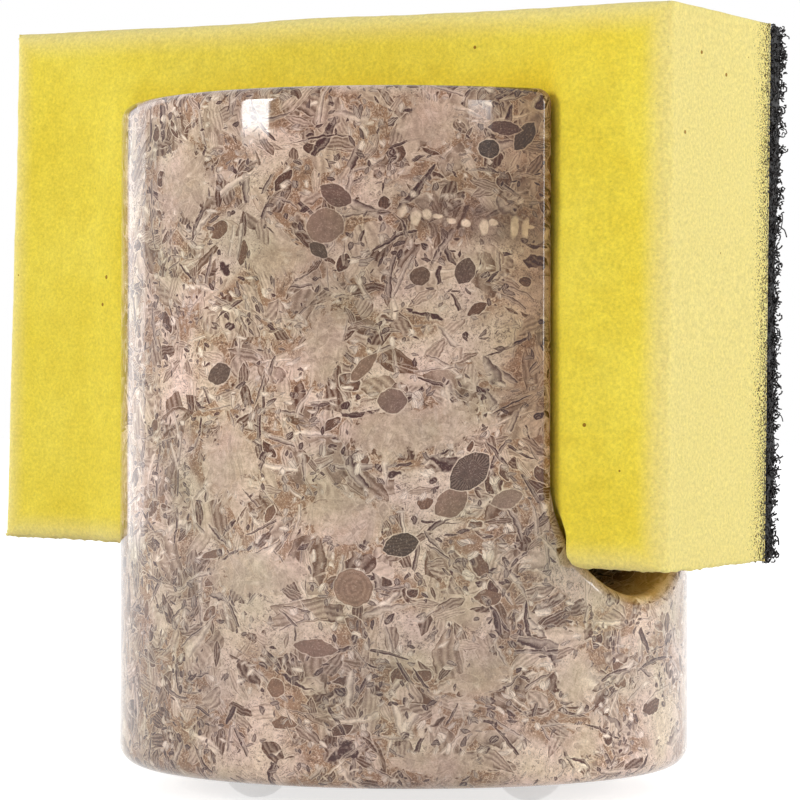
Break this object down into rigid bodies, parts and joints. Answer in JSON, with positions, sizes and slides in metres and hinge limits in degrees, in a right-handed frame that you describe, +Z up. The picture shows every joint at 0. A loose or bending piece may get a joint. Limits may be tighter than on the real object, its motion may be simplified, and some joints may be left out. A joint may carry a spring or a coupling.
{
  "type": "sponge holder",
  "caption": "Polished fossil-limestone cylinder with a round-bottomed through slot, clear stick-on feet, and a foam sponge with a black scouring pad standing in the slot.",
  "frame": {"origin": "on the stone cylinder's axis, in the plane that the four feet stand on", "axes": "+X along the slot, +Y from the front wall to the rear wall (the scouring pad's side), +Z up"},
  "size_m": [0.1141, 0.08, 0.1082],
  "materials": {
    "polished_stone": "polished",
    "clear_rubber": "clear gloss",
    "clear_adhesive": "clear",
    "yellow_foam": "open-cell foam",
    "laminating_glue": "dull film",
    "black_scourer": "coarse nonwoven fibre"
  },
  "bodies": {
    "holder": {"stone_body": "polished_stone", "front_foot": "clear_rubber", "right_foot": "clear_rubber", "rear_foot": "clear_rubber", "left_foot": "clear_rubber", "front_foot_adhesive": "clear_adhesive", "right_foot_adhesive": "clear_adhesive", "rear_foot_adhesive": "clear_adhesive", "left_foot_adhesive": "clear_adhesive"},
    "sponge": {"sponge_foam": "yellow_foam", "laminating_glue": "laminating_glue", "scouring_pad": "black_scourer"}
  },
  "joints": [
    {"name": "sponge_lift", "type": "slide", "parent": "holder", "child": "sponge", "axis": [0, 0, 1], "range_m": [0, 0.075]}
  ]
}
